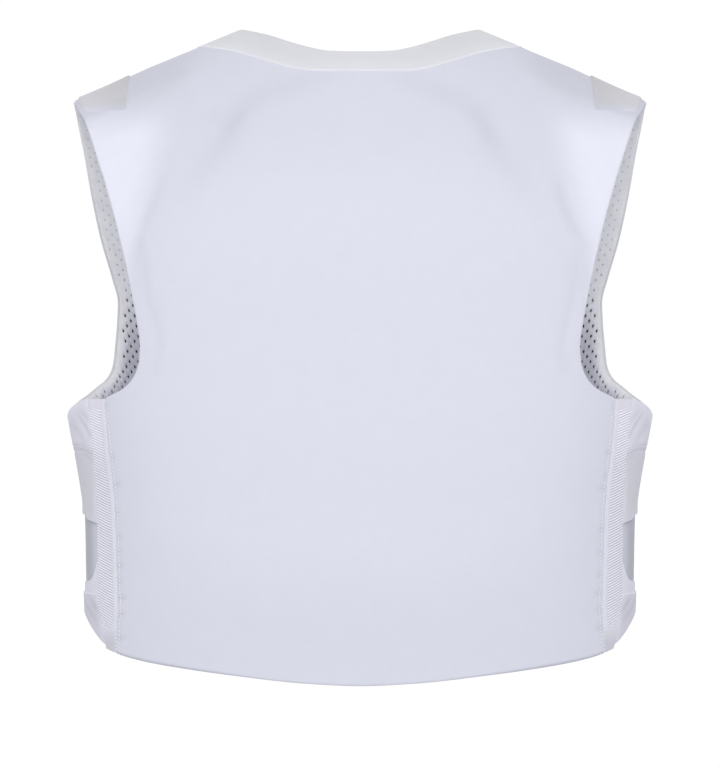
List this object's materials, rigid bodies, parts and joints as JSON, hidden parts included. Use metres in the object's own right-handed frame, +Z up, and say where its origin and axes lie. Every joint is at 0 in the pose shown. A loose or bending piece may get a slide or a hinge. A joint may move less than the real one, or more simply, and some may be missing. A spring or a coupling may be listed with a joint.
{
  "type": "stab vest",
  "caption": "Covert stab vest in its worn form: padded back and front panels, ribbed elastic side inserts, closure straps and a neck band.",
  "frame": {"origin": "midway between the shoulders, at the height where the vest rests on them", "axes": "+Z up to the wearer's head, -Y the way the wearer faces, +X the wearer's left"},
  "size_m": [0.4588, 0.2547, 0.5035],
  "materials": {
    "carrier_cloth": "smooth white woven cloth with a faint lavender cast",
    "air_mesh": "white air mesh with rows of small staggered holes",
    "band_cloth": "plain white folded cloth band",
    "ribbed_elastic": "white ribbed elastic with slanting ribs",
    "wing_cloth": "smooth white woven cloth",
    "strap_elastic": "flat pale grey elastic webbing"
  },
  "bodies": {
    "root": {"back_panel": "carrier_cloth", "front_panel": "carrier_cloth", "front_lining": "air_mesh", "neck_band": "band_cloth", "side_elastic_left": "ribbed_elastic", "side_elastic_right": "ribbed_elastic", "upper_wing_left": "wing_cloth", "upper_wing_right": "wing_cloth", "side_strap_left": "strap_elastic", "side_strap_right": "strap_elastic", "lower_wing_left": "wing_cloth", "lower_wing_right": "wing_cloth", "shoulder_strap_left": "strap_elastic", "shoulder_strap_right": "strap_elastic"}
  },
  "joints": []
}
